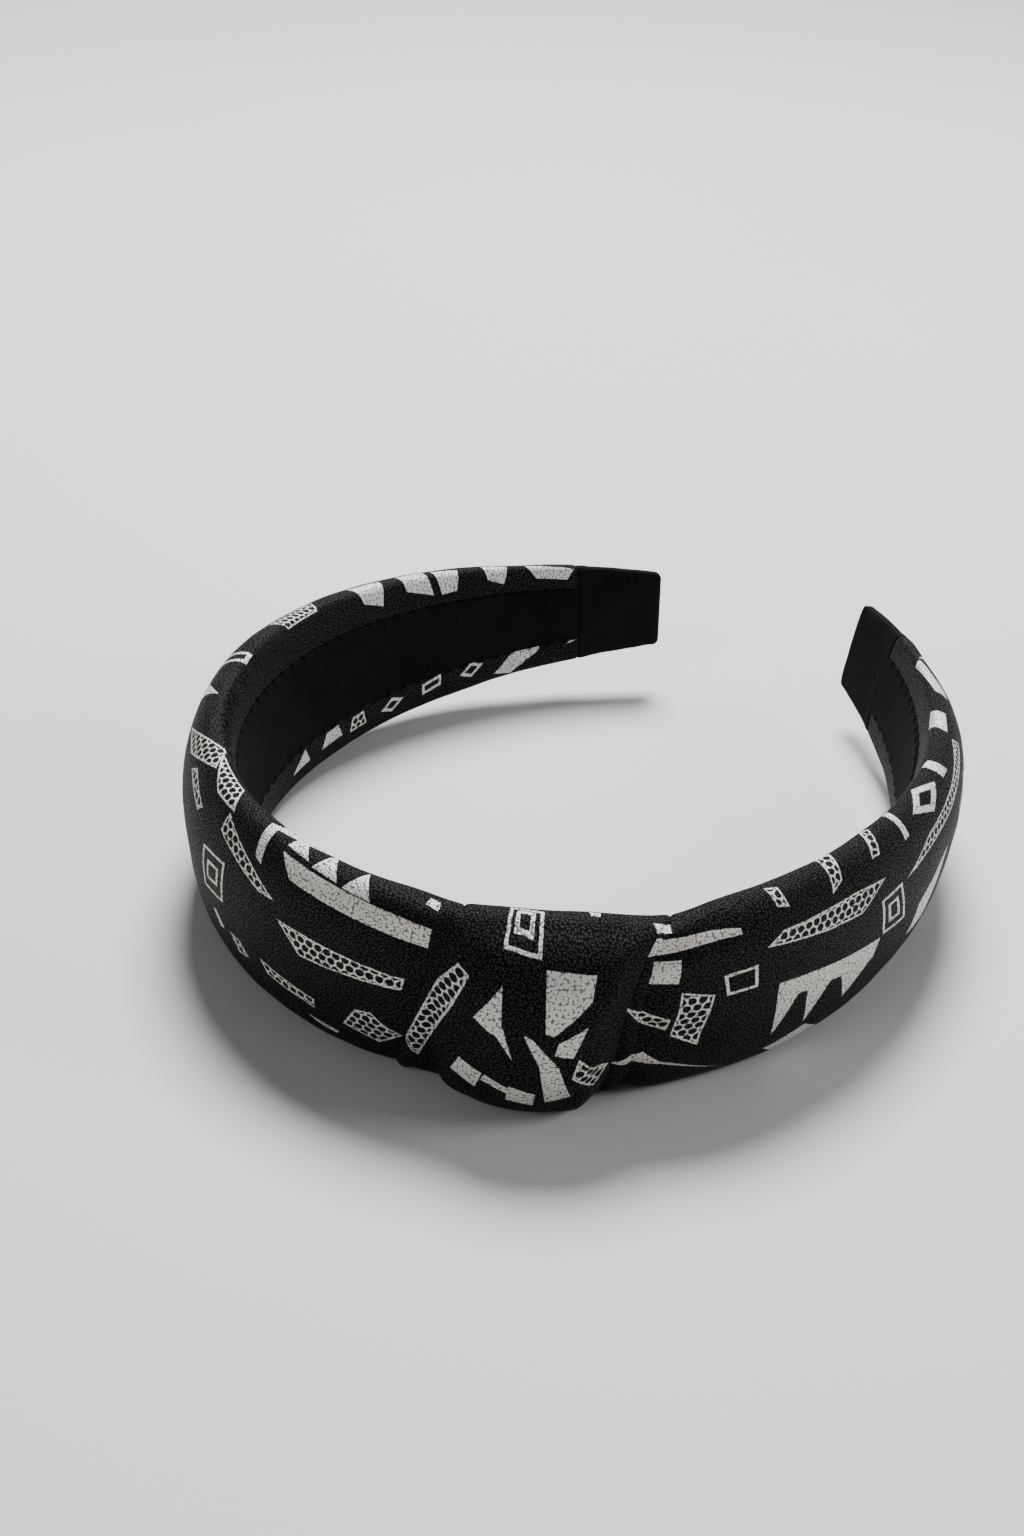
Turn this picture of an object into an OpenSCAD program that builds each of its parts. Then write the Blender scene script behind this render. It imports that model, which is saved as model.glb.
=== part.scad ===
// Knotted headband lying on its edge. The hoop lies in XY with the crown towards -Y and the gap
// towards +Y; the band's width stands along Z and its lower edge is on z = 0. Positions along the
// band are arc lengths in mm from the middle of the crown: negative on the left arm, positive on
// the right arm. A cross-section has n, outward from the inner face, and z, across the width.

/* [Hoop] */
// Length of each arm, from the middle of the crown to the tip
arm_len = 190; // [180:1:200]
// Radius of the crown arc, at the inner face
crown_r = 57.5; // [54:0.5:62]
// Length of the crown arc on each side of the middle
crown_len = 65; // [60:1:70]
// Length of the flatter arc over each temple
temple_len = 55; // [45:1:65]
// Radius over the left temple
left_temple_r = 74; // [68:1:90]
// Radius of the left arm's end
left_end_r = 98; // [85:1:130]
// Radius over the right temple
right_temple_r = 88; // [68:1:95]
// Radius of the right arm's end
right_end_r = 116; // [85:1:140]

/* [Band] */
// Width of the band at the crown
band_w = 37; // [32:0.5:42]
// Width of the left tip
left_tip_w = 16; // [13:0.5:20]
// Width of the right tip
right_tip_w = 19; // [13:0.5:22]
// Arc length at which the band starts to narrow
taper_start = 80; // [60:1:100]
// Thickness of the padded band
band_t = 10.5; // [8:0.25:12]
// Thickness of the bare tips
tip_t = 3.8; // [3.8:0.1:4.5]
// Outward lean of the band's upper edge at the crown, in degrees
crown_lean = 5; // [0:0.5:8]
// Outward lean at the tips, in degrees
tip_lean = 10; // [0:0.5:14]

/* [Layers] */
// Thickness of the printed cover
cover_t = 0.8; // [0.6:0.1:1]
// Thickness of the hoop core at the crown
core_t = 1.85; // [1.6:0.05:2.2]
// Thickness of the lining
lining_t = 0.75; // [0.5:0.05:0.8]
// Thickness of the end caps' fabric
cap_t = 0.6; // [0.5:0.05:0.7]
// Length of each end cap
cap_len = 18; // [16:1:24]
// Spacing of the whip stitches
stitch_pitch = 4; // [3:0.5:6]

/* [Knot] */
// Arc length at the middle of the knot
knot_at = 27.5; // [22:0.5:30]
// Width of the wrap where it crosses the band's upper edge
wrap_top_w = 32; // [28:1:36]
// Width of the wrap where it crosses the lower edge
wrap_low_w = 30.5; // [26:0.5:34]
// How far the knot stands proud of the band
knot_proud = 8; // [5:0.5:10]

/* [Flex] */
// Arc length of the flex hinges, one on each arm
hinge_at = 60; // [58:0.5:62]
// Most that each arm opens outward, in degrees
open_max = 14; // [8:1:14]
// Most that each arm closes inward, in degrees
close_max = 4; // [2:1:5]

/* [Hidden] */

// Outline of the padded section
belly = 0.3;          // share of the thickness at which the section is widest
round_out = 0.9;      // exponents of the rounded outline: padded outer face, boxier tips,
round_tip = 0.35;     // inner face and edges
round_in = 0.5;
round_edge = 0.83;
sole = 0.35;          // depth pressed flat where the lower edge rests
edge_angle = 90;
hem_angle = 152;      // where the cover's hems end on the inner face
core_angle = 120;     // where the core's edges are
pad_angle = 85;       // where the pad's edges are
step_angle = 12;      // spacing of the points round a section
gap = 0.1;            // clearance between neighbouring layers
pad_gap = 0.35;       // clearance between the padding and the layer over it

// Lengthwise layout
ring_step = 6;        // spacing of the sections along the band
swell_len = 60;       // length over which the padding reaches full thickness
swell_start = 16;     // distance from the tip at which the padding starts to swell
taper_power = 1.4;
cover_end = arm_len - cap_len;
pad_end = cover_end - 4;
cap_inset = 0.3;      // step from the cover down to the cap
core_thin = 0.5;      // how much thinner the core is at its tips
core_tip_inset = 1.15; // depth of the core's inner face inside the caps
core_sink = 6;        // length over which the core moves to that depth
boxy_len = 14;        // length over which the outline turns boxy before the caps
core_end = arm_len - 1.2;
lining_end = cover_end;

// Flex hinges: the end faces on each side are cut back so that the arm can turn
hinge_n = 1.9;
hinge_slack = 0.25;
open_cut = tan(open_max / 2 + 0.6);
close_cut = tan(close_max / 2 + 0.6);

// Knot
wrap_left = knot_at - wrap_top_w / 2;
wrap_right = knot_at + wrap_top_w / 2;
wrap_low_left = knot_at - 25.5;
wrap_low_right = wrap_low_left + wrap_low_w;
under_left_end = wrap_low_left - 5;
under_right_end = wrap_right + 4;
knot_low = 20;        // angle below the middle at which the knot is fullest
crest_margin = 3;     // the rise fades out this far past the crest's borders, both together
filling_in = 2.5;     // how far the wadding stays inside the wrap's borders
filling_share = 0.9;  // share of the knot's rise that the wadding fills
knot_rings = 8;
hem_in_knot = 145;    // where the knot's hems end on the inner face
filling_angle = 50;
tack_spread = 4;      // spacing of the tacks along the band
tack_out = 3.4;       // distance of the tacks from the lining's edge
near_bow = 1.6;       // how late the wrap's left border swings out towards the lower edge
far_bow = 2.4;        // and its right border towards the upper edge

crown_y = -62;        // inner face at the middle of the crown, before centring
centre = [0.7, 6.5];     // middle of the whole part's plan, moved to the origin
mid_z = band_w / 2 * cos(crown_lean) + belly * band_t * sin(crown_lean) - sole;

stitch_r = 0.3;
stitch_len = 3.4;
stitch_slant = 25;
stitch_sides = 8;

leather_black = [0.07, 0.07, 0.07];
lining_black = [0.03, 0.03, 0.03];
core_grey = [0.18, 0.18, 0.2];
foam_cream = [0.86, 0.82, 0.7];
thread_black = [0.1, 0.1, 0.1];

// ---- the band's line and outline ----

function clamp(x, low, high) = max(low, min(high, x));
function mix(a, b, t) = a + (b - a) * t;
function ease(t) = let (c = clamp(t, 0, 1)) c * c * (3 - 2 * c);
function spread(low, high, n) = [for (i = [0:n]) mix(low, high, i / n)];
function lobe(x, power) = sign(x) * pow(abs(x), power);

// p is [x, y, heading]; the result is where an arc of that radius and length ends
function along_arc(p, r, len) =
    let (b = p[2] + len / r * 180 / PI)
    [p[0] + r * (sin(b) - sin(p[2])), p[1] + r * (cos(p[2]) - cos(b)), b];

// [x, y, heading] of the inner face's middle line at arc length s
function line_at(s) =
    let (
        side = s < 0 ? -1 : 1,
        u = abs(s),
        crown = along_arc([0, crown_y, 0], crown_r, min(u, crown_len)),
        temple_r = side < 0 ? left_temple_r : right_temple_r,
        temple = along_arc(crown, temple_r, clamp(u - crown_len, 0, temple_len)),
        end_r = side < 0 ? left_end_r : right_end_r,
        end = along_arc(temple, end_r, max(u - crown_len - temple_len, 0))
    )
    [side * end[0], end[1], side * end[2]];

function half_width(s) =
    let (t = clamp((abs(s) - taper_start) / (arm_len - taper_start), 0, 1))
    mix(band_w, s < 0 ? left_tip_w : right_tip_w, pow(t, taper_power)) / 2;

function thickness(s) =
    let (t = clamp((arm_len - abs(s) - swell_start) / swell_len, 0, 1))
    mix(tip_t, band_t, sin(90 * t));

function roundness(s) = mix(round_out, round_tip, ease((abs(s) - cover_end) / boxy_len + 1));

function lean(s) = mix(crown_lean, tip_lean, ease((abs(s) - taper_start) / (arm_len - taper_start)));

// [n, z] of the outline, moved in by inset; angle 0 is the outer face and 180 the inner one
function outline(s, inset, angle) =
    let (
        t = thickness(s),
        middle = belly * t,
        c = cos(angle),
        out = middle + (t - inset - middle) * pow(max(c, 0), roundness(s)),
        n = c > 0 ? out : middle - max(middle - inset, 0) * pow(-c, round_in)
    )
    [n, (half_width(s) - inset) * lobe(sin(angle), round_edge)];

// How far a point is cut back from a hinge's plane, by its outward distance from the pivot
function cut_back(h) =
    hinge_slack + max(h - hinge_n, 0) * open_cut + max(hinge_n - h, 0) * close_cut;

// Point in space of section point [n, z] at arc length s. cut is 1 or -1 where the section is the
// hinge end of a piece that goes on towards larger or smaller arc lengths, and 0 elsewhere.
function place(s, nz, cut = 0) =
    let (
        a = lean(s),
        h = nz[0] * cos(a) + nz[1] * sin(a),
        up = nz[1] * cos(a) - nz[0] * sin(a),
        p = line_at(s + cut * cut_back(h))
    )
    [
        p[0] + h * sin(p[2]) - centre[0],
        p[1] - h * cos(p[2]) - centre[1],
        max(mid_z + up, 0)
    ];

// ---- solids swept through a list of loops ----

function loop_sides(m, first) =
    [for (j = [0:m - 1]) each let (k = (j + 1) % m) [
        [first + j, first + m + j, first + k],
        [first + k, first + m + j, first + m + k]
    ]];
function fan(m, first) = [for (j = [1:m - 2]) [first, first + j, first + j + 1]];
// a C-shaped loop runs out along its outer side and back along its inner side
function c_strip(m, first) =
    [for (j = [0:m / 2 - 2]) each [
        [first + j, first + j + 1, first + m - 1 - j],
        [first + j + 1, first + m - 2 - j, first + m - 1 - j]
    ]];
function flipped(faces) = [for (f = faces) [f[0], f[2], f[1]]];

module loft(loops, hollow = false) {
    m = len(loops[0]);
    last = (len(loops) - 1) * m;
    near = hollow ? c_strip(m, 0) : fan(m, 0);
    far = hollow ? c_strip(m, last) : fan(m, last);
    polyhedron(
        points = [for (l = loops) each l],
        faces = concat(
            [for (i = [0:len(loops) - 2]) each loop_sides(m, i * m)],
            near,
            flipped(far)
        )
    );
}

function ring_count(from, to) = max(2, ceil((to - from) / ring_step));
function cut_at(i, n, cuts) = i == 0 ? cuts[0] : i == n ? -cuts[1] : 0;
function angles(limit) = spread(-limit, limit, 2 * ceil(limit / step_angle));

// cuts says whether the near and far ends are hinge ends
function swept(from, to, cuts, section) =
    let (n = ring_count(from, to))
    [for (i = [0:n])
        let (s = mix(from, to, i / n))
        [for (nz = section(s)) place(s, nz, cut_at(i, n, cuts))]];

// ---- the band's layers ----

function core_inset(s) =
    mix(cover_t + gap, core_tip_inset, ease((abs(s) - cover_end) / core_sink + 1));
function core_section(s) =
    let (
        inset = core_inset(s),
        thin = core_thin * ease((abs(s) - cover_end) / core_sink + 1),
        outer = inset + core_t - thin,
        side = outline(s, inset, core_angle)[1]
    )
    concat(
        [[outer, -side]],
        [for (a = spread(-core_angle, core_angle - 360, 6)) outline(s, inset, a)],
        [[outer, side]]
    );

module core(from, to, cuts) {
    color(core_grey)
    loft(swept(from, to, cuts, function (s) core_section(s)));
}

function pad_floor() = cover_t + core_t + 2 * gap;
function pad_point(s, a) =
    let (p = outline(s, cover_t + pad_gap, a))
    [max(p[0], pad_floor() + gap), p[1]];
function pad_section(s) =
    let (edge = outline(s, cover_t + pad_gap, pad_angle)[1])
    concat(
        [[pad_floor(), edge]],
        [for (a = angles(pad_angle)) pad_point(s, -a)],
        [[pad_floor(), -edge]]
    );

module pad(from, to, cuts) {
    color(foam_cream)
    loft(swept(from, to, cuts, function (s) pad_section(s)));
}

function cover_section(s) = concat(
    [for (a = angles(hem_angle)) outline(s, 0, -a)],
    [for (a = angles(hem_angle)) outline(s, cover_t, a)]
);

module cover(from, to, cuts) {
    color(leather_black)
    loft(swept(from, to, cuts, function (s) cover_section(s)), hollow = true);
}

function hem_edge(s) = outline(s, cover_t, hem_angle)[1];
function lining_section(s) =
    let (edge = hem_edge(s) - 2 * gap)
    [[0, edge], [lining_t, edge], [lining_t, -edge], [0, -edge]];

module lining(from, to, cuts) {
    color(lining_black)
    loft(swept(from, to, cuts, function (s) lining_section(s)));
}

// A pocket over the tip: its loops run out of the cavity and back over the outside
module cap(side) {
    n = ring_count(cover_end, arm_len);
    inside = [for (i = [n:-1:0])
        let (u = mix(cover_end + gap, core_end + gap, i / n))
        [for (a = [step_angle:step_angle:360]) place(side * u, outline(side * u, cap_inset + cap_t, side * a))]];
    outside = [for (i = [0:n])
        let (u = mix(cover_end + gap, arm_len, i / n))
        [for (a = [step_angle:step_angle:360]) place(side * u, outline(side * u, cap_inset, side * a))]];
    color(lining_black)
    loft(concat(inside, outside));
}

// One whip stitch over the seam between lining and hem
module stitch(s, edge) {
    p = line_at(s);
    spot = place(s, [-stitch_r - 2 * gap, edge]);
    translate(spot)
        rotate([lean(s), 0, p[2]])
            rotate([0, stitch_slant, 0])
                cylinder(h = stitch_len, r = stitch_r, center = true, $fn = stitch_sides * 2);
}

module stitches(from, to) {
    n = floor((to - from) / stitch_pitch);
    color(thread_black)
    for (i = [0:n - 1]) {
        s = from + (i + 0.5) * (to - from) / n;
        stitch(s, hem_edge(s));
        stitch(s, -hem_edge(s));
    }
}

// ---- the knot ----

// A border across the band is [arc length at the lower edge, arc length at the upper edge, bow].
// A bow above 1 bends it near the upper edge, and one below -1 near the lower edge.
wrap_near = [wrap_low_left, wrap_left, -near_bow];
wrap_far = [wrap_low_right, wrap_right, far_bow];
crest_near = [wrap_low_left + 7, wrap_left - 2, 1];
crest_far = [wrap_low_right - 0.5, wrap_right - 1, 1];

function border_at(border, a) =
    let (t = (clamp(a, -edge_angle, edge_angle) + edge_angle) / 180)
    border[2] < 0
        ? mix(border[1], border[0], pow(1 - t, -border[2]))
        : mix(border[0], border[1], pow(t, border[2]));
function moved(border, by) = [border[0] + by, border[1] + by, border[2]];

// How far the knot stands out of the band at arc length s and angle a
function knot_rise(s, a) =
    let (
        near = border_at(crest_near, a),
        far = border_at(crest_far, a),
        across = 1 - pow((2 * s - near - far) / (far - near + crest_margin), 2),
        around = cos(clamp(a + knot_low, -edge_angle, edge_angle))
    )
    knot_proud * pow(clamp(across, 0, 1), 0.6) * pow(max(around, 0), 0.8);

// Outline point of the knot; share says how much of the knot's rise it stands out by
function knot_point(s, a, share, inset) =
    let (base = outline(s, inset, a))
    place(s, [base[0] + knot_rise(s, a) * share, base[1]]);

// Layer between two borders. outer and inner are [share of the rise, inset] of its two faces.
module knot_layer(near, far, outer, inner, limit) {
    function at(i, a, face) =
        knot_point(mix(border_at(near, a), border_at(far, a), i / knot_rings), a, face[0], face[1]);
    loft(
        [for (i = [0:knot_rings])
            concat(
                [for (a = angles(limit)) at(i, -a, outer)],
                [for (a = angles(limit)) at(i, a, inner)]
            )],
        hollow = true
    );
}

module knot_wrap() {
    color(leather_black)
    knot_layer(wrap_near, wrap_far, [1, 0], [1, cover_t], hem_in_knot);
}

module knot_under_left() {
    color(leather_black)
    knot_layer(
        [under_left_end, under_left_end, 1],
        moved(wrap_near, -gap),
        [1, 0],
        [1, cover_t],
        hem_in_knot
    );
}

module knot_under_right() {
    color(leather_black)
    knot_layer(
        moved(wrap_far, gap),
        [under_right_end, under_right_end, 1],
        [1, 0],
        [1, cover_t],
        hem_in_knot
    );
}

// Wadding between the padding and the wrap
module knot_filling() {
    color(foam_cream)
    knot_layer(
        moved(crest_near, filling_in),
        moved(crest_far, -filling_in),
        [filling_share, cover_t + pad_gap],
        [0, cover_t],
        filling_angle
    );
}

// Three tacks near each edge, over the seam between lining and wrap
module knot_tacks() {
    color(thread_black)
    for (side = [-1, 1], s = [knot_at - tack_spread:tack_spread:knot_at + tack_spread])
        stitch(s, side * (hem_edge(s) + tack_out));
}

// ---- one module for each node ----

module core_crown() { core(-hinge_at, hinge_at, [1, 1]); }
module core_left() { core(-core_end, -hinge_at, [0, 1]); }
module core_right() { core(hinge_at, core_end, [1, 0]); }

module pad_crown() { pad(-hinge_at, hinge_at, [1, 1]); }
module pad_left() { pad(-pad_end, -hinge_at, [0, 1]); }
module pad_right() { pad(hinge_at, pad_end, [1, 0]); }

module cover_crown_left() { cover(-hinge_at, under_left_end - gap, [1, 0]); }
module cover_crown_right() { cover(under_right_end + gap, hinge_at, [0, 1]); }
module cover_left() { cover(-cover_end, -hinge_at, [0, 1]); }
module cover_right() { cover(hinge_at, cover_end, [1, 0]); }

module lining_crown() { lining(-hinge_at, hinge_at, [1, 1]); }
module lining_left() { lining(-lining_end, -hinge_at, [0, 1]); }
module lining_right() { lining(hinge_at, lining_end, [1, 0]); }

module cap_left() { cap(-1); }
module cap_right() { cap(1); }

module stitches_crown() { stitches(-hinge_at + 2, hinge_at - 2); }
module stitches_left() { stitches(-cover_end, -hinge_at - 2); }
module stitches_right() { stitches(hinge_at + 2, cover_end); }

core_crown();
core_left();
core_right();
pad_crown();
pad_left();
pad_right();
cover_crown_left();
cover_crown_right();
cover_left();
cover_right();
lining_crown();
lining_left();
lining_right();
cap_left();
cap_right();
stitches_crown();
stitches_left();
stitches_right();
knot_wrap();
knot_filling();
knot_under_left();
knot_under_right();
knot_tacks();
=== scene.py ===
"""Knotted headband: fabric, padding, thread and print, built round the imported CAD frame.

Lengths in the geometry functions are millimetres and angles are radians; meshes are in metres.
A place on the band is (s, angle): s is the arc length from the middle of the crown, negative on
the left arm, and angle goes round the section, 0 on the outer face and +90 degrees at the upper
edge. Prints are laid out flat in (s, girth), where girth is the length round the section in mm.
"""

import math

import bpy
import numpy as np
from mathutils import Matrix, Vector, noise


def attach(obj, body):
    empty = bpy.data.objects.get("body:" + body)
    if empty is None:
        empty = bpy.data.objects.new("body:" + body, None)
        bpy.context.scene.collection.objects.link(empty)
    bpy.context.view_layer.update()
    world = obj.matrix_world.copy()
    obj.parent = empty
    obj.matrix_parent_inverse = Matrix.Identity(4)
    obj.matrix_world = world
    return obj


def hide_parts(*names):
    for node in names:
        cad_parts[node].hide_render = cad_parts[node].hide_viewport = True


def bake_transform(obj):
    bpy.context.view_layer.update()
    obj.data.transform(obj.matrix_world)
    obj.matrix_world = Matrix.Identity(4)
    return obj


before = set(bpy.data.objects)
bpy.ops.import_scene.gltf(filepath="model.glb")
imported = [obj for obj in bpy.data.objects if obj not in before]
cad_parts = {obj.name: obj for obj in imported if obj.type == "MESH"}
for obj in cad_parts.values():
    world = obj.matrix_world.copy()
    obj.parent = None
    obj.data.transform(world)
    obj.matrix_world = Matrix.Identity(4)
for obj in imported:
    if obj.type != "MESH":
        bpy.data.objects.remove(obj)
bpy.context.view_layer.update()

MM = 0.001

# The hoop and the band, with the dimensions of the CAD source
ARM_LEN = 190.0
CROWN_R, CROWN_LEN, TEMPLE_LEN = 57.5, 65.0, 55.0
LEFT_R = (74.0, 98.0)            # over the temple, and at the arm's end
RIGHT_R = (88.0, 116.0)
CROWN_Y = -62.0
CENTRE = (0.7, 6.5)
BAND_W, LEFT_TIP_W, RIGHT_TIP_W = 37.0, 16.0, 19.0
TAPER_START, TAPER_POWER = 80.0, 1.4
BAND_T, TIP_T = 10.5, 3.8
SWELL_START, SWELL_LEN = 16.0, 60.0     # from the tip, where padding begins, and over what length
CROWN_LEAN, TIP_LEAN = math.radians(5), math.radians(10)
BELLY = 0.3                      # share of the thickness at which the band is widest
ROUND_OUT, ROUND_TIP, ROUND_IN, ROUND_EDGE = 0.9, 0.35, 0.5, 0.83
BOXY_LEN = 14.0                  # over which the outer face turns squarer before the cap
SOLE = 0.35                      # how much of the crown's lower edge is pressed flat
COVER_T, CORE_T, LINING_T, CAP_T = 0.8, 1.85, 0.45, 0.5
LINING_UP = 0.12                 # the lining's middle, outward from the inner face
COVER_END = 172.0
HEM_ANGLE = math.radians(152)
MID_Z = BAND_W / 2 * math.cos(CROWN_LEAN) + BELLY * BAND_T * math.sin(CROWN_LEAN) - SOLE

# The knot, a little slimmer and fuller to the right than the CAD's
KNOT_AT = 27.5
# Lines across the band: arc length at the lower edge, at the upper edge, and how the line bows.
# Above 1 it swings out near the upper edge, and below -1 near the lower edge; 1 is straight
WRAP_NEAR, WRAP_FAR = (2.0, 11.5, -1.6), (34.0, 43.5, 2.4)
CREST_NEAR, CREST_FAR = (11.0, 9.5, 1.0), (35.0, 42.5, 1.0)
KNOT_PROUD, KNOT_FILL = 7.0, 0.8      # the rise of its middle, and the wadding's share of it
KNOT_LOW = math.radians(20)      # how far below the middle of the outer face it is fullest
TUCK = 5.0                       # how far the covers go on under the wrap
# Where the wrap's pull lowers the band's upper edge: depth, arc length of its middle, and reach
WAISTS = (0.7, 10.5, 5.0), (1.9, 43.0, 8.0)

STITCH_PITCH, THREAD_R = 4.0, 0.12

# The small ribs of the left temple's hem: spacing, depth, arc length of their middle, and reach
RIB_PITCH, RIB_DEPTH, RIBS_AT, RIBS_REACH = 2.1, 0.32, -67.0, 20.0
RIBBED, RIBBED_ROWS = (0.45, 0.71), 118      # the ribbed share of the left cover, and its rows


# ---- the band's line and section ----

def ease(t):
    t = np.clip(t, 0, 1)
    return t * t * (3 - 2 * t)


def mix(a, b, t):
    return a + (b - a) * t


def line_at(s):
    """x, y and heading of the inner face's middle line."""
    s = np.asarray(s, float)
    u, side = np.abs(s), np.where(s < 0, -1.0, 1.0)
    radii = (
        np.full_like(u, CROWN_R),
        np.where(s < 0, LEFT_R[0], RIGHT_R[0]),
        np.where(s < 0, LEFT_R[1], RIGHT_R[1]),
    )
    lengths = (
        np.minimum(u, CROWN_LEN),
        np.clip(u - CROWN_LEN, 0, TEMPLE_LEN),
        np.maximum(u - CROWN_LEN - TEMPLE_LEN, 0),
    )
    x, y, b = np.zeros_like(u), np.full_like(u, CROWN_Y), np.zeros_like(u)
    for r, length in zip(radii, lengths):
        turned = b + length / r
        x, y, b = x + r * (np.sin(turned) - np.sin(b)), y + r * (np.cos(b) - np.cos(turned)), turned
    return side * x, y, side * b


def taper(s):
    return np.clip((np.abs(s) - TAPER_START) / (ARM_LEN - TAPER_START), 0, 1)


def half_width(s):
    return mix(BAND_W, np.where(s < 0, LEFT_TIP_W, RIGHT_TIP_W), taper(s) ** TAPER_POWER) / 2


def thickness(s):
    t = np.clip((ARM_LEN - np.abs(s) - SWELL_START) / SWELL_LEN, 0, 1)
    return mix(TIP_T, BAND_T, np.sin(np.pi / 2 * t))


def waist(s):
    """How far the wrap's pull lowers the band's upper edge at the two borders."""
    return sum(depth * np.exp(-((s - middle) / reach) ** 2) for depth, middle, reach in WAISTS)


def outline(s, inset, angle):
    """Outward distance from the inner face, and height in the width's direction."""
    t, c = thickness(s), np.cos(angle)
    middle = BELLY * t
    power = mix(ROUND_OUT, ROUND_TIP, ease((np.abs(s) - COVER_END) / BOXY_LEN + 1))
    outer = middle + (t - inset - middle) * np.maximum(c, 0) ** power
    inner = middle - np.maximum(middle - inset, 0) * np.maximum(-c, 0) ** ROUND_IN
    sine = np.sin(angle)
    z = (half_width(s) - inset) * np.sign(sine) * np.abs(sine) ** ROUND_EDGE
    return np.where(c > 0, outer, inner), z - waist(s) * np.maximum(sine, 0) ** 2


def place(s, n, z):
    """Points in metres of section points (n, z) at arc lengths s."""
    lean = mix(CROWN_LEAN, TIP_LEAN, ease(taper(s)))
    h = n * np.cos(lean) + z * np.sin(lean)
    up = z * np.cos(lean) - n * np.sin(lean)
    x, y, b = line_at(s)
    points = (x + h * np.sin(b) - CENTRE[0], y - h * np.cos(b) - CENTRE[1], MID_Z + up)
    return np.stack(np.broadcast_arrays(*points), -1) * MM


def border(line, angle):
    """Arc length of a line across the band."""
    low, high, bow = line
    t = (np.clip(angle, -np.pi / 2, np.pi / 2) + np.pi / 2) / np.pi
    return mix(high, low, (1 - t) ** -bow) if bow < 0 else mix(low, high, t ** bow)


def wrap_near(angle):
    return border(WRAP_NEAR, angle)


def wrap_far(angle):
    return border(WRAP_FAR, angle)


def knot_rise(s, angle):
    """How far the knot stands out of the band."""
    near, far = border(CREST_NEAR, angle), border(CREST_FAR, angle)
    across = 1 - ((2 * s - near - far) / (far - near + 3)) ** 2
    around = np.cos(np.clip(angle + KNOT_LOW, -np.pi / 2, np.pi / 2))
    return KNOT_PROUD * np.clip(across, 0, 1) ** 0.6 * np.maximum(around, 0) ** 0.8


def past_wrap(s, angle):
    """Distance outside the wrap's nearer border; negative under the wrap."""
    return np.maximum(wrap_near(angle) - s, s - wrap_far(angle))


def facing_out(angle, power=1.0):
    """1 on the outer face, 0 at the edges and on the inner face."""
    return np.maximum(np.cos(angle), 0) ** power


def pinch(s, angle):
    """How far the wrap's pull draws the padded band in beside the knot."""
    away = past_wrap(s, angle)
    valley = (0.15 + 0.95 * facing_out(angle + 0.3)) * ease(1 - away / 7.0)
    return valley + 0.95 * ease((0.9 - away) / 1.8)


# ---- stations and meshes ----

def stations(start, end, step, fine=(0.08, 0.3, 0.7, 1.3, 2.2)):
    """Places from start to end, closer together at both ends, where edges turn under."""
    length = end - start
    near = [0.0, *fine]
    middle = np.linspace(near[-1], length - near[-1], max(2, round((length - 2 * near[-1]) / step)))
    return start + np.concatenate([near[:-1], middle, [length - f for f in reversed(near[:-1])]])


def even_angles(low, high, step):
    """Angles whose points on the crown's section are evenly spaced, from low to high."""
    fine = np.linspace(low, high, 3000)
    n, z = outline(0.0, 0.0, fine)
    run = np.concatenate([[0], np.cumsum(np.hypot(np.diff(n), np.diff(z)))])
    return np.interp(stations(0, run[-1], step), run, fine)


def girth(s, angle):
    """Length round the section from the middle of the outer face, for a grid of rows by angles."""
    fine = np.linspace(-np.pi, np.pi, 721)
    n, z = outline(s[:, :1], 0.0, fine[None, :])
    run = np.cumsum(np.hypot(np.diff(n, axis=1), np.diff(z, axis=1)), axis=1)
    run = np.concatenate([np.zeros((len(run), 1)), run], axis=1)
    run -= run[:, 360:361]
    return np.stack([np.interp(angle[i], fine, run[i]) for i in range(len(run))])


def normals(points):
    across = np.cross(np.gradient(points, axis=0), np.gradient(points, axis=1))
    return across / np.maximum(np.linalg.norm(across, axis=-1, keepdims=True), 1e-12)


def noise_at(x, y, seed):
    flat = [noise.noise(Vector((a, b, seed))) for a, b in zip(np.ravel(x), np.ravel(y))]
    return np.reshape(flat, np.shape(x))


def new_object(name, points, faces, print_mm=None):
    mesh = bpy.data.meshes.new(name)
    mesh.from_pydata([tuple(p) for p in points], [], faces)
    if print_mm is not None:
        layer = mesh.attributes.new("print_mm", "FLOAT_VECTOR", "POINT")
        layer.data.foreach_set("vector", np.asarray(print_mm, np.float32).ravel())
    mesh.polygons.foreach_set("use_smooth", [True] * len(mesh.polygons))
    mesh.update()
    piece = bpy.data.objects.new(name, mesh)
    bpy.context.scene.collection.objects.link(piece)
    return piece


def grid_faces(rows, cols, first=0, closed=False, flip=False):
    faces = []
    for i in range(rows - 1):
        for j in range(cols if closed else cols - 1):
            k = (j + 1) % cols
            quad = (i * cols + j, (i + 1) * cols + j, (i + 1) * cols + k, i * cols + k)
            faces.append(tuple(first + q for q in (reversed(quad) if flip else quad)))
    return faces


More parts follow.
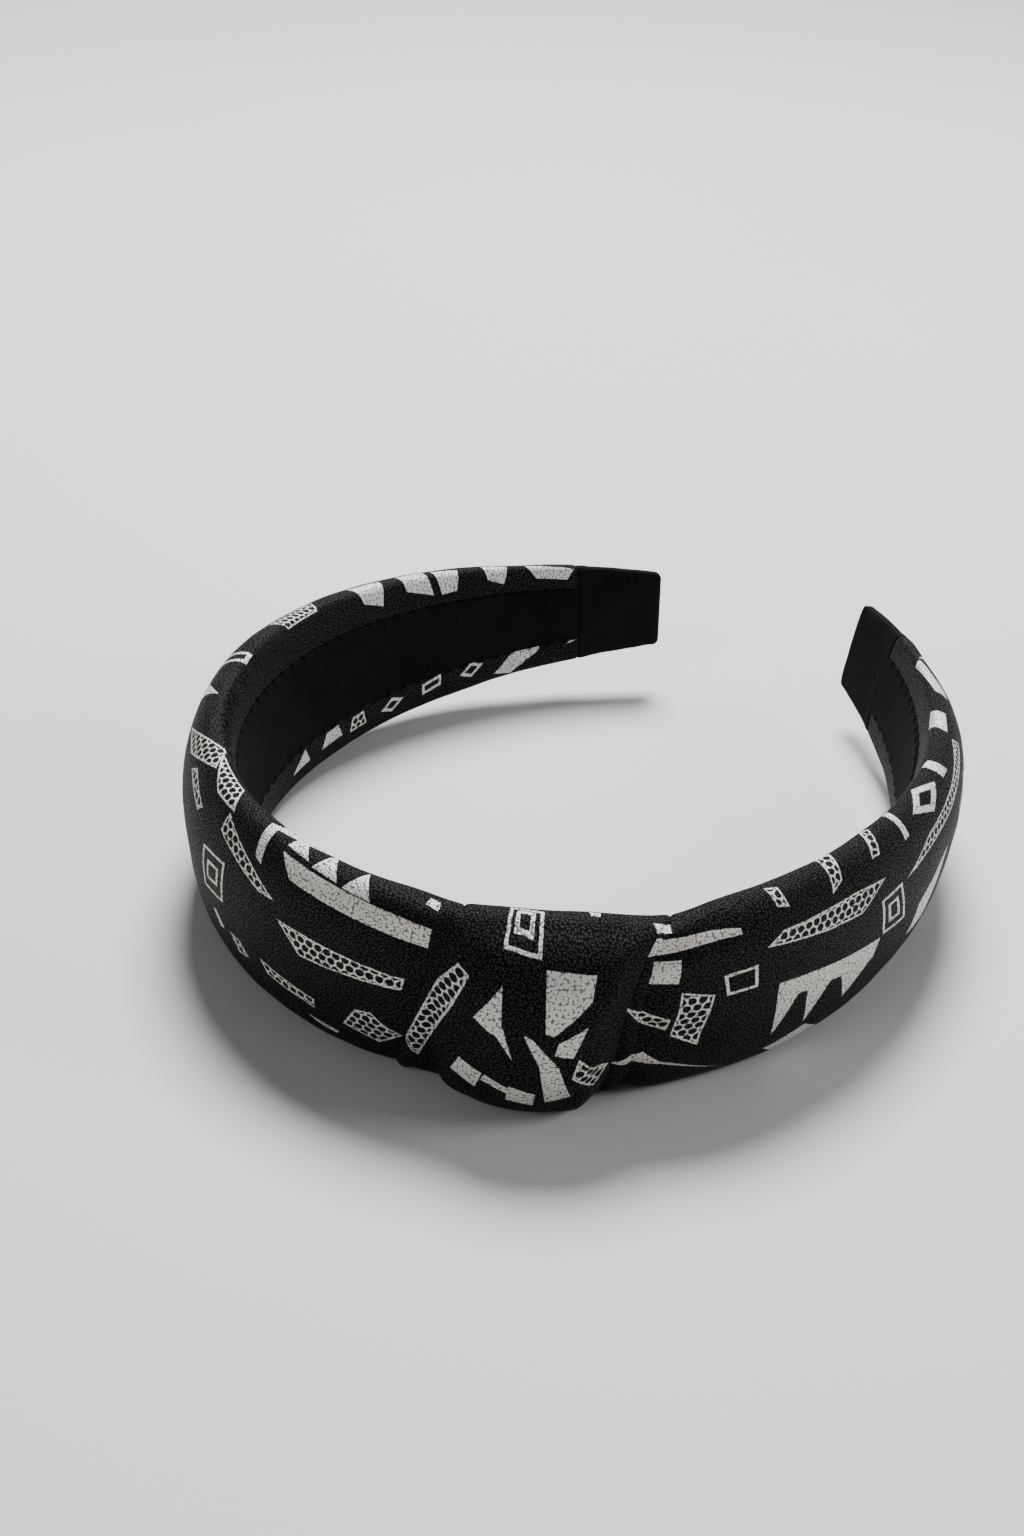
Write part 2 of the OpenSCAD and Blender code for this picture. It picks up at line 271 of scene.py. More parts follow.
def shell(name, outer, inner, print_mm):
    """A closed layer between two grids of points that meet along their borders."""
    rows, cols = outer.shape[:2]
    index = np.arange(rows * cols).reshape(rows, cols)
    back = index + rows * cols
    back[0], back[-1], back[:, 0], back[:, -1] = index[0], index[-1], index[:, 0], index[:, -1]
    points = np.concatenate([outer.reshape(-1, 3), inner.reshape(-1, 3)])
    faces = grid_faces(rows, cols)
    flat_back = back.ravel()
    faces += [tuple(int(flat_back[v]) for v in reversed(f)) for f in grid_faces(rows, cols)]
    used = np.unique([v for f in faces for v in f])
    renumber = np.full(len(points), -1)
    renumber[used] = np.arange(len(used))
    coordinates = np.concatenate([print_mm.reshape(-1, 3)] * 2)
    faces = [tuple(int(renumber[v]) for v in f) for f in faces]
    return new_object(name, points[used], faces, coordinates[used])


def skin(name, s, angle, lift, bulge=0.0, roll=0.75 * COVER_T):
    """A fabric layer over the band. lift is how far its outer face stands off the outline, along
    the normal; bulge is the knot's rise; its borders are rolled over roll mm."""
    n, z = outline(s, 0.0, angle)
    v = girth(s, angle)
    base = place(s, n + bulge, z)
    turn = normals(base)
    to_row_end = np.minimum(np.abs(s - s[0]), np.abs(s - s[-1]))
    to_edge = np.minimum(np.abs(v - v[:, :1]), np.abs(v - v[:, -1:]))
    near = np.clip(np.minimum(to_row_end, to_edge) / roll, 0, 1)
    full = np.sqrt(1 - (1 - near) ** 2)
    middle = lift - COVER_T / 2
    outer = base + turn * ((middle + COVER_T / 2 * full) * MM)[..., None]
    inner = base + turn * ((middle - COVER_T / 2 * full) * MM)[..., None]
    for face in (outer, inner):
        face[..., 2] = np.maximum(face[..., 2], 0)
    return shell(name, outer, inner, np.stack([s, v, np.ones_like(s)], -1))


def tube(name, loops, print_mm=None):
    """A closed solid swept through loops of points."""
    rows, cols = len(loops), len(loops[0])
    faces = grid_faces(rows, cols, closed=True)
    faces.append(tuple(range(cols)))
    faces.append(tuple(reversed(range((rows - 1) * cols, rows * cols))))
    return new_object(name, np.reshape(loops, (-1, 3)), faces, print_mm)


def across_hinge(piece):
    """Bake a finished piece's transform into its mesh; the piece is left unparented."""
    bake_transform(piece)


# ---- the fabric's own relief ----

def softness(s, v):
    """Slow unevenness of leathercloth over foam."""
    return 0.22 * noise_at(s / 17, v / 11, 1.0) + 0.10 * noise_at(s / 6, v / 5, 4.0)


def held_flat(angle):
    """1 where the cover is loose, falling to a little where its hem is sewn to the lining."""
    return 1 - 0.9 * ease((np.abs(angle) - math.radians(118)) / math.radians(26))


def gathers(s, v, angle):
    """Small ribs where the hem is drawn in, deepest over the left temple's upper edge."""
    turned = ease((np.abs(angle) - math.radians(90)) / math.radians(16))
    wave = np.sin(2 * np.pi * (s + 0.2 * v) / RIB_PITCH + 2.6 * noise_at(s / 9, v / 20, 7.0))
    depth = RIB_DEPTH * (1 + 1.2 * noise_at(s / 4, v / 30, 9.0))
    temple = np.exp(-((s - RIBS_AT) / RIBS_REACH) ** 4) * (angle > 0)
    return turned * depth * temple * wave


def puckers(s, v, angle, wavelength, depth, reach, seed):
    """Folds that run out from under the wrap and die away along the band."""
    away = np.maximum(past_wrap(s, angle), 0)
    spread_out = 1 + away / 30
    phase = 2 * np.pi * (v / spread_out + 1.2 * noise_at(s / 14, v / 9, seed)) / wavelength
    return depth * np.sin(phase) * np.exp(-away / reach) * facing_out(angle, 0.4)


def fold(s, v, start, end, width, depth):
    """A crease from start to end in (s, girth), with a low ridge along its left side."""
    ridge = 0.4
    a, b = np.array(start, float), np.array(end, float)
    run = b - a
    length = np.hypot(*run)
    along = ((s - a[0]) * run[0] + (v - a[1]) * run[1]) / length
    off = ((s - a[0]) * run[1] - (v - a[1]) * run[0]) / length / width
    fade = ease(along / (0.25 * length) + 0.5) * ease((length - along) / (0.45 * length))
    return fade * depth * (ridge * np.exp(-(off + 1.6) ** 2) - np.exp(-off ** 2))


# ---- the covers ----

COVER_ANGLES = even_angles(-HEM_ANGLE, HEM_ANGLE, 0.9)


def cover_grid(side):
    """Rows from the tip to the tucked end under the wrap, always with s growing."""
    angle = COVER_ANGLES[None, :]
    inner_end = wrap_near(angle) + TUCK if side < 0 else wrap_far(angle) - TUCK
    rows = stations(0, 1, 1 / 150, fine=(0.0006, 0.002, 0.005, 0.009))
    if side < 0:
        plain = rows[(rows < RIBBED[0]) | (rows > RIBBED[1])]
        rows = np.sort(np.concatenate([plain, np.linspace(*RIBBED, RIBBED_ROWS)]))
    rows = rows[:, None]
    start, end = (-COVER_END, inner_end) if side < 0 else (inner_end, COVER_END)
    s = mix(start, end, rows) + 0 * angle
    return s, angle + 0 * s


def cover_lift(s, v, angle, side):
    if side < 0:
        drawn = puckers(s, v, angle, 6.5, 0.35, 9.0, 12.0)
    else:
        drawn = puckers(s, v, angle, 7.5, 0.6, 11.0, 15.0)
    quiet = ease((COVER_END - np.abs(s)) / 12)
    calm = ease((past_wrap(s, angle) + 1) / 3)
    loose = (softness(s, v) + gathers(s, v, angle)) * quiet * held_flat(angle)
    return loose + drawn * calm - pinch(s, angle)


def make_cover(side):
    name = "printed_cover_left" if side < 0 else "printed_cover_right"
    s, angle = cover_grid(side)
    return skin(name, s, angle, cover_lift(s, girth(s, angle), angle, side))


# ---- the knot ----

def wrap_bulge(s, angle):
    """The knot's rise, easing down to the covers at the wrap's borders."""
    return knot_rise(s, angle) * ease((1.0 - past_wrap(s, angle)) / 6.0)


def wrap_folds(s, v):
    return (
        fold(s, v, (40, 14), (27, -6), 1.8, 0.9)
        + fold(s, v, (15.5, 16), (12.5, -12), 2.2, 0.5)
        + fold(s, v, (35, 21), (31, 5), 2.2, 0.4)
        + fold(s, v, (34, -3), (25, -17), 1.9, 0.6)
        + fold(s, v, (8, -8), (17, -19), 1.9, 0.4)
    )


def make_wrap():
    angles = even_angles(-HEM_ANGLE, HEM_ANGLE, 0.7)[None, :]
    rows = stations(0, 1, 1 / 44, fine=(0.003, 0.012, 0.03, 0.055))[:, None]
    s = mix(wrap_near(angles), wrap_far(angles), rows)
    angle = angles + 0 * s
    v = girth(s, angle)
    inside = ease(-past_wrap(s, angle) / 4)
    lift = (wrap_folds(s, v) + softness(s, v)) * inside * held_flat(angle)
    return skin("knot_wrap_fold", s, angle, lift, bulge=wrap_bulge(s, angle), roll=1.4)


def make_under(side):
    """The gathered layer that shows as a second fold beside the wrap, fullest low on the knot."""
    limit = math.radians(84)
    angles = even_angles(-limit, limit, 0.7)[None, :]
    low_share = ease((0.9 - angles) / 1.8)
    rows = stations(0, 1, 1 / 16, fine=(0.01, 0.04, 0.09))[:, None]
    if side < 0:
        start, end = wrap_near(angles) - 1.0 - 2.2 * low_share, wrap_near(angles) + 4
    else:
        start, end = wrap_far(angles) - 4, wrap_far(angles) + 1.2 + 2.6 * low_share
    s = mix(start, end, rows)
    angle = angles + 0 * s
    v = girth(s, angle)
    away = past_wrap(s, angle)
    crest = 0.55 * np.exp(-((away - 1.2) / 1.1) ** 2) * low_share
    lift = -0.12 + crest - 0.55 * ease((away - 1.6) / 2.2) - 0.5 * ease(-away / 2)
    name = "knot_fold_left" if side < 0 else "knot_fold_right"
    return skin(name, s, angle, lift, roll=1.0)


def make_wadding():
    """Loose filling under the wrap."""
    limit = math.radians(50)
    from_crest, inset, thinnest = 2.5, 2.3, 1.1
    angles = np.linspace(-limit, limit, 40)
    loops = []
    for t in np.linspace(0, 1, 14):
        near, far = border(CREST_NEAR, angles) + from_crest, border(CREST_FAR, angles) - from_crest
        s = mix(near, far, t)
        thick = np.maximum(KNOT_FILL * wrap_bulge(s, angles) - COVER_T, thinnest)
        n, z = outline(s, inset, angles)
        outer = place(s, n + thick, z)
        inner = place(s, n, z)
        loops.append(np.concatenate([outer, inner[::-1]]))
    return tube("knot_wadding", loops)


# ---- inside the band ----

def make_foam(side):
    """One length of padding from a tip to the middle of the knot."""
    limit = math.radians(84)
    under_cover, over_core, short, half_joint = 0.35, 0.25, 4.0, 0.1
    across = np.linspace(-limit, limit, 36)
    floor = COVER_T + CORE_T + over_core
    if side < 0:
        ends = (-COVER_END + short, KNOT_AT - half_joint)
    else:
        ends = (KNOT_AT + half_joint, COVER_END - short)
    loops = []
    for s in np.linspace(*ends, 80):
        s = s + 0 * across
        inset = COVER_T + under_cover + pinch(s, across)
        n, z = outline(s, inset, across)
        n = np.maximum(n, floor + 0.1)
        outer = place(s, n, z)
        inner = place(s, floor + 0 * n, z)
        loops.append(np.concatenate([outer, inner[::-1]]))
    return tube("foam_left" if side < 0 else "foam_right", loops)


def hem_edge(s):
    return outline(s, COVER_T, HEM_ANGLE)[1]


def make_lining(side):
    """A ribbon down the inner face, whose edges lie over the cover's hems."""
    ends = (-COVER_END, KNOT_AT - 0.05) if side < 0 else (KNOT_AT + 0.05, COVER_END)
    rows = stations(*ends, 1.3, fine=(0.1, 0.4))[:, None]
    cols = stations(-1, 1, 1 / 12, fine=(0.01, 0.04))[None, :]
    s, across = rows + 0 * cols, cols + 0 * rows
    z = across * (hem_edge(s) + 0.5)
    ripple = 0.05 * noise_at(s / 7, z / 6, 31.0)
    gathered = ease((np.abs(across) - 0.8) / 0.2) * np.sin(2 * np.pi * s / STITCH_PITCH) * 0.04
    to_end = np.minimum(np.abs(s - s[0]), np.abs(s - s[-1]))
    to_side = (1 - np.abs(across)) * hem_edge(s)
    full = np.sqrt(1 - (1 - np.clip(np.minimum(to_end, to_side) / 0.3, 0, 1)) ** 2)
    middle = LINING_UP + ripple + gathered
    outer = place(s, middle + LINING_T / 2 * full, z)
    inner = place(s, middle - LINING_T / 2 * full, z)
    name = "lining_ribbon_left" if side < 0 else "lining_ribbon_right"
    return shell(name, outer, inner, np.stack([s, z, np.ones_like(s)], -1))


def make_cap(side):
    """A sewn pocket over the bare tip, open towards the cover, with a turned-in mouth."""
    around = np.linspace(0, 2 * np.pi, 73)[:-1]
    inset, mouth, edge = 0.08, 0.2, 1.2     # off the band, gap at the mouth, radius of the end's edge
    depth = ARM_LEN - COVER_END
    loops, coordinates = [], []

    def loop(u, extra, shrink=0.0):
        s = side * u + 0 * around
        slack = 0.22 * noise_at(s / 5, np.sin(around) * 2, 51.0) * ease((u - COVER_END - 2) / 3)
        n, z = outline(s, inset + extra + np.abs(slack), side * around)
        t = thickness(s)
        n, z = mix(n, 0.5 * t, shrink), z * (1 - shrink)
        loops.append(place(s, n, z))
        coordinates.append(np.stack([s, around * 6, 1 + 0 * s], -1))

    for u in np.linspace(depth - CAP_T - 0.5, mouth, 9):
        loop(COVER_END + u, CAP_T)
    for k in np.linspace(0, np.pi, 5)[1:-1]:
        loop(COVER_END + mouth * (1 - math.sin(k)), CAP_T * (1 + math.cos(k)) / 2)
    for u in np.linspace(mouth, depth - edge, 22):
        hem = -0.10 * math.exp(-((u - 1.3) / 0.8) ** 2) + 0.06 * math.exp(-((u - 3.0) / 0.5) ** 2)
        loop(COVER_END + u, hem)
    for k in np.linspace(0, np.pi / 2, 6)[1:]:
        loop(ARM_LEN - edge + edge * math.sin(k), edge * (1 - math.cos(k)))
    for shrink in (0.5, 0.9):
        loop(ARM_LEN, edge, shrink)
    if side > 0:
        loops = [l[::-1] for l in loops]
        coordinates = [c[::-1] for c in coordinates]
    name = "tip_cap_left" if side < 0 else "tip_cap_right"
    return tube(name, loops, np.concatenate(coordinates))


# ---- thread ----

def thread_points(s, edge_sign, z_in, z_out, slant, stand=0.2):
    """One stitch over the lining's edge, dipping into the fabric at both ends."""
    t = np.linspace(0, 1, 7)
    z = edge_sign * (hem_edge(s + 0 * t) + mix(z_in, z_out, t))
    arch = np.sin(np.pi * t)
    n = 0.10 + 0.45 * (t > 0.5) * (t - 0.5) - stand * arch - 0.15
    return place(s + slant * (t - 0.5), n + 0.25 * (1 - arch), z)


def thread_mesh(name, stitches):
    points, faces = [], []
    sides = 6
    for path in stitches:
        along = np.gradient(path, axis=0)
        along /= np.linalg.norm(along, axis=1, keepdims=True)
        first = np.cross(along, (0.3, 0.2, 0.9))
        first /= np.linalg.norm(first, axis=1, keepdims=True)
        second = np.cross(along, first)
        start = len(points)
        for i, centre in enumerate(path):
            r = THREAD_R * MM * (0.55 if i in (0, len(path) - 1) else 1.0)
            for k in range(sides):
                a = 2 * math.pi * k / sides
                points.append(centre + r * (math.cos(a) * first[i] + math.sin(a) * second[i]))
        faces += grid_faces(len(path), sides, start, closed=True)
        faces.append(tuple(start + k for k in range(sides)))
        faces.append(tuple(start + (len(path) - 1) * sides + k for k in reversed(range(sides))))
    return new_object(name, points, faces)


def make_stitches(side):
    ends = (-COVER_END + 1, KNOT_AT) if side < 0 else (KNOT_AT, COVER_END - 1)
    count = round((ends[1] - ends[0]) / STITCH_PITCH)
    pitch = (ends[1] - ends[0]) / count
    paths = []
    for k in range(count):
        s = ends[0] + (k + 0.5) * pitch
        wobble = 0.25 * noise.noise(Vector((s, 0.0, 40.0)))
        for edge_sign in (-1, 1):
            paths.append(thread_points(s + wobble, edge_sign, z_in=-1.0, z_out=1.4, slant=1.5))
    return thread_mesh("whip_stitches_left" if side < 0 else "whip_stitches_right", paths)


def make_tacks():
    paths = []
    for edge_sign in (-1, 1):
        for s in (KNOT_AT - 5, KNOT_AT, KNOT_AT + 5):
            for slant in (-1.6, 1.6):
                paths.append(thread_points(s, edge_sign, -3.0, -1.2, slant, stand=0.4))
    return thread_mesh("knot_tack_threads", paths)


# ---- materials ----

class Nodes:
    """Short calls for a material's node tree; values may be numbers or sockets."""

    def __init__(self, name):
        self.material = bpy.data.materials.new(name)
        self.material.use_nodes = True
        self.tree = self.material.node_tree
        self.shader = self.tree.nodes["Principled BSDF"]

    def put(self, socket, value):
        if isinstance(value, bpy.types.NodeSocket):
            self.tree.links.new(value, socket)
        else:
            socket.default_value = value

    def node(self, kind, settings=None, **inputs):
        made = self.tree.nodes.new(kind)
        for key, value in (settings or {}).items():
            setattr(made, key, value)
        for key, value in inputs.items():
            self.put(made.inputs[key.replace("_", " ")], value)
        return made

    def math(self, operation, a, b=0.0):
        made = self.tree.nodes.new("ShaderNodeMath")
        made.operation = operation
        self.put(made.inputs[0], a)
        self.put(made.inputs[1], b)
        return made.outputs[0]

    def vector(self, operation, a, *more, scale=None):
        made = self.tree.nodes.new("ShaderNodeVectorMath")
        made.operation = operation
        for socket, value in zip(made.inputs, (a, *more)):
            self.put(socket, value)
        if scale is not None:
            self.put(made.inputs["Scale"], scale)
        return made.outputs["Value" if operation in ("DOT_PRODUCT", "LENGTH") else "Vector"]

    def mix(self, share, a, b):
        made = self.tree.nodes.new("ShaderNodeMix")
        made.data_type = "RGBA"
        for socket, value in zip((made.inputs[0], made.inputs[6], made.inputs[7]), (share, a, b)):
            self.put(socket, value)
        return made.outputs[2]

    def remap(self, value, low, high, to_low=0.0, to_high=1.0):
        made = self.tree.nodes.new("ShaderNodeMapRange")
        for socket, given in zip(made.inputs, (value, low, high, to_low, to_high)):
            self.put(socket, given)
        return made.outputs[0]

    def noise(self, place_at, scale, detail=2.0, rough=0.5):
        made = self.node("ShaderNodeTexNoise", Vector=place_at, Scale=scale, Detail=detail)
        made.inputs["Roughness"].default_value = rough
        return made.outputs

    def cells(self, place_at, scale, randomness):
        made = self.node("ShaderNodeTexVoronoi", {"voronoi_dimensions": "2D"},
                         Vector=place_at, Scale=scale, Randomness=randomness)
        return made.outputs["Distance"]

    def wave(self, place_at, direction, scale, distortion, **inputs):
        made = self.node("ShaderNodeTexWave", {"bands_direction": direction},
                         Vector=place_at, Scale=scale, Distortion=distortion, **inputs)
        return made.outputs["Fac"]

    def print_place(self):
        return self.node("ShaderNodeAttribute", {"attribute_name": "print_mm"}).outputs["Vector"]

    def object_mm(self):
        place_at = self.node("ShaderNodeTexCoord").outputs["Object"]
        return self.vector("SCALE", place_at, scale=1 / MM)

    def bump(self, height, distance_mm, strength=1.0, under=None):
        made = self.node("ShaderNodeBump", Height=height, Distance=distance_mm * MM, Strength=strength)
        if under is not None:
            self.put(made.inputs["Normal"], under)
        return made.outputs["Normal"]

    def finish(self, colour, roughness, normal, **constants):
        self.put(self.shader.inputs["Base Color"], colour)
        self.put(self.shader.inputs["Roughness"], roughness)
        self.put(self.shader.inputs["Normal"], normal)
        for key, value in constants.items():
            self.put(self.shader.inputs[key.replace("_", " ")], value)
        return self.material


def half_planes(corners):
    """(nx, ny, -d) of each side of a convex outline, pointing out of it."""
    centre = np.mean(corners, axis=0)
    sides = []
    for a, b in zip(corners, corners[1:] + corners[:1]):
        run = np.subtract(b, a)
        out = np.array((run[1], -run[0])) / np.hypot(*run)
        if out @ (centre - a) > 0:
            out = -out
        sides.append((out[0], out[1], -float(out @ np.array(a))))
    return sides


def inside_distance(nodes, place_at, shapes):
    """Signed distance in mm to the nearest of some convex shapes, negative inside. A shape is
    (corners) for a filled one, or (corners, width) for an outline of that width."""
    nearest = None
    for shape in shapes:
        corners, width = shape if isinstance(shape, tuple) else (shape, None)
        distance = None
        for side in half_planes(corners):
            value = nodes.vector("DOT_PRODUCT", place_at, side)
            distance = value if distance is None else nodes.math("MAXIMUM", distance, value)
        if width:
            moved = nodes.math("ADD", distance, width / 2)
            distance = nodes.math("SUBTRACT", nodes.math("ABSOLUTE", moved), width / 2)
        nearest = distance if nearest is None else nodes.math("MINIMUM", nearest, distance)
    return nearest


def rectangle(left, right, low, high, shear=0.0):
    return [(left, low), (right, low + shear), (right, high + shear), (left, high)]


def diamond(s, v, half_s, half_v):
    return [(s - half_s, v), (s, v + half_v), (s + half_s, v), (s, v - half_v)]


FLAT = (1.0, 1.0, 0.0)              # times a vector, keeps it in the plane of the print
NET_PITCH, NET_HOLE = 1.6, 0.65     # spacing and radius of the round holes in the printed net
EDGE = (-0.04, 0.06)                # the print's edge fades between these distances, in mm


def net_web(nodes, at):
    """Distance outside the nearest hole of a net of round holes in staggered rows."""
    half = (NET_PITCH / 2, NET_PITCH * math.sqrt(3) / 2, 1.0)
    nearest = None
    for shift in ((0.0, 0.0, 0.0), half):
        moved = nodes.vector("MULTIPLY", nodes.vector("ADD", at, shift), FLAT)
        away = nodes.vector("LENGTH", nodes.vector("WRAP", moved, half, tuple(-h for h in half)))
        nearest = away if nearest is None else nodes.math("MINIMUM", nearest, away)
    return nodes.math("SUBTRACT", nearest, NET_HOLE)


def printed_leather(name, solid, net):
    """Pebbled black leathercloth with a silvery foil print: solid shapes and netted shapes."""
    nodes = Nodes(name)
    flat = nodes.print_place()
    wander = nodes.noise(flat, 1.1, 1.0)["Color"]
    shaken = nodes.vector("SCALE", nodes.vector("SUBTRACT", wander, (0.5, 0.5, 0.5)), scale=0.2)
    at = nodes.vector("ADD", flat, nodes.vector("MULTIPLY", shaken, FLAT))

    pebble = nodes.cells(nodes.vector("ADD", flat, shaken), 2.3, 0.9)
    fine = nodes.noise(flat, 6.0, 2.0)["Fac"]
    creased = nodes.noise(flat, 0.5, 3.0)["Fac"]
    grain = nodes.math("MULTIPLY", fine, 0.25)
    height = nodes.math("ADD", nodes.math("MULTIPLY", pebble, -1.0), grain)

    filled = nodes.remap(inside_distance(nodes, at, solid), *EDGE, 1.0, 0.0)
    area = inside_distance(nodes, at, net)
    lines = nodes.remap(net_web(nodes, at), -0.03, 0.05)
    rim = nodes.remap(area, -0.34, -0.26)
    netted = nodes.math("MULTIPLY", nodes.math("MAXIMUM", lines, rim),
                        nodes.remap(area, *EDGE, 1.0, 0.0))
    foil = nodes.math("MAXIMUM", filled, netted)
    specks = nodes.remap(pebble, 0.48, 0.66, 0.0, 0.75)
    worn = nodes.remap(creased, 0.62, 0.75, 0.0, 0.2)
    kept = nodes.math("SUBTRACT", 1.0, nodes.math("MAXIMUM", specks, worn))
    foil = nodes.math("MULTIPLY", foil, kept)

    # Painted highlight and shade: the pebble tops get a lighter colour and the valleys between them a
    # near-black one, standing in for light catching the grain; the patches add random tone.
    painted_pebble_glint = nodes.remap(pebble, 0.08, 0.44, 1.0, 0.0)
    patches = nodes.remap(creased, 0.3, 0.7, 0.6, 1.1)
    glint_and_patch_share = nodes.math("MULTIPLY", nodes.math("POWER", painted_pebble_glint, 2.2), patches)
    leather = nodes.mix(glint_and_patch_share, (0.0004, 0.0005, 0.0006, 1), (0.058, 0.060, 0.062, 1))
    silver = nodes.mix(fine, (0.60, 0.585, 0.56, 1), (0.84, 0.82, 0.79, 1))
    colour = nodes.mix(foil, leather, silver)
    dull = nodes.remap(pebble, 0.0, 0.6, 0.36, 0.72)
    roughness = nodes.math("ADD", dull, nodes.math("MULTIPLY", foil, -0.04))
    bumpy = nodes.bump(height, 0.13, 1.0)
    raised = nodes.bump(foil, 0.02, 0.5, bumpy)
    nodes.put(nodes.shader.inputs["Metallic"], nodes.math("MULTIPLY", foil, 0.45))
    return nodes.finish(colour, roughness, raised, Specular_IOR_Level=0.08)


def woven(name, dark, light, rib):
    """Plain close-woven ribbon with fine cross ribs."""
    nodes = Nodes(name)
    flat = nodes.print_place()
    across = nodes.wave(flat, "X", rib, 0.6, Detail=1.0)
    along = nodes.wave(flat, "Y", rib * 1.6, 0.6, Detail=1.0)
    weave = nodes.math("ADD", across, nodes.math("MULTIPLY", along, 0.5))
    fuzz = nodes.noise(flat, 3.0, 3.0)["Fac"]
    worn = nodes.noise(flat, 0.12, 2.0)["Fac"]
    share = nodes.math("ADD", nodes.math("MULTIPLY", weave, 0.35), nodes.math("MULTIPLY", fuzz, 0.5))
    share = nodes.math("MULTIPLY", share, nodes.remap(worn, 0.3, 0.7, 0.7, 1.2))
    colour = nodes.mix(share, (*dark, 1), (*light, 1))
    rough = nodes.remap(fuzz, 0.3, 0.7, 0.82, 0.98)
    normal = nodes.bump(nodes.math("ADD", weave, fuzz), 0.07, 0.7)
    return nodes.finish(colour, rough, normal, Specular_IOR_Level=0.06)


def thread_material():
    nodes = Nodes("black_thread")
    at = nodes.object_mm()
    twist = nodes.wave(at, "DIAGONAL", 3.2, 0.4)
    fuzz = nodes.noise(at, 6.0, 2.0)["Fac"]
    share = nodes.math("MULTIPLY", twist, fuzz)
    colour = nodes.mix(share, (0.001, 0.001, 0.001, 1), (0.007, 0.007, 0.007, 1))
    return nodes.finish(colour, nodes.remap(fuzz, 0.3, 0.7, 0.45, 0.65),
                        nodes.bump(twist, 0.06, 0.8), Specular_IOR_Level=0.05)


def foam_material(name, dark, light, cell):
    nodes = Nodes(name)
    at = nodes.object_mm()
    pores = nodes.node("ShaderNodeTexVoronoi", Vector=at, Scale=cell).outputs["Distance"]
    patch = nodes.noise(at, 0.15, 2.0)["Fac"]
    share = nodes.math("MULTIPLY", nodes.remap(pores, 0.1, 0.7),
                       nodes.remap(patch, 0.2, 0.8, 0.7, 1.1))
    colour = nodes.mix(share, (*dark, 1), (*light, 1))
    return nodes.finish(colour, nodes.remap(patch, 0.3, 0.7, 0.85, 0.97), nodes.bump(pores, 0.25, 0.8))


def core_material():
    """Extruded springy plastic strip, a little streaky along its length."""
    nodes = Nodes("core_strip_plastic")
    at = nodes.object_mm()
    streak = nodes.noise(nodes.vector("MULTIPLY", at, (0.15, 0.15, 2.2)), 1.0, 3.0)["Fac"]
    scuff = nodes.noise(at, 0.8, 4.0, 0.7)["Fac"]
    colour = nodes.mix(streak, (0.030, 0.030, 0.034, 1), (0.060, 0.060, 0.066, 1))
    return nodes.finish(colour, nodes.remap(scuff, 0.3, 0.7, 0.32, 0.52), nodes.bump(scuff, 0.03, 0.5))


def floor_material():
    nodes = Nodes("pale_floor")
    at = nodes.node("ShaderNodeTexCoord").outputs["Object"]
    cloud = nodes.noise(at, 3.0, 3.0)["Fac"]
    colour = nodes.mix(cloud, (0.70, 0.69, 0.67, 1), (0.76, 0.75, 0.73, 1))
    return nodes.finish(colour, nodes.remap(cloud, 0.3, 0.7, 0.55, 0.65), nodes.bump(cloud, 0.05, 0.1))


# ---- the print: flat shapes in (arc length, girth) mm, all of them plain geometry ----

BORDER_FLECK = [(40.3, 20.6), (42.8, 19.6), (42.6, 17.8), (40.5, 18.4)]
SOLID_KNOT = [
    (rectangle(18.6, 23.8, 15.8, 22.2, -0.5), 0.5),
    (rectangle(19.7, 22.5, 17.6, 21.4, -0.3), 0.6),
    [(24.6, 14.2), (31.2, 13.6), (30.6, 9.6), (26.0, 4.0), (24.9, 4.4)],
    [(26.6, 2.6), (30.2, 5.4), (28.6, -0.6), (26.2, 0.2)],
    [(19.0, 11.2), (15.4, 5.0), (19.4, 2.4)],
    [(18.2, 4.0), (19.5, 4.4), (20.8, -1.4)],
    [(30.6, 22.8), (32.4, 22.5), (32.2, 21.5), (30.8, 21.6)],
    BORDER_FLECK,
    [(13.6, -4.2), (17.0, -5.6), (16.0, -9.6), (12.4, -7.6)],
    [(17.4, -5.8), (20.8, -8.2), (20.4, -9.4), (16.8, -7.2)],
    [(20.6, -7.4), (24.0, -8.8), (23.8, -12.4), (20.2, -11.2)],
    [(22.2, 3.8), (23.4, 3.0), (26.6, -2.0), (24.6, -3.0)],
    [(24.4, -2.4), (26.8, -2.4), (28.8, -10.4), (25.4, -11.2)],
]
NET_KNOT = [
    [(29.4, -1.2), (34.0, -6.2), (32.0, -9.2), (28.6, -5.0)],
    [(12.5, 12.4), (14.2, 11.4), (11.7, 3.6), (6.4, -10.8), (4.3, -7.8), (9.6, 7.8)],
]

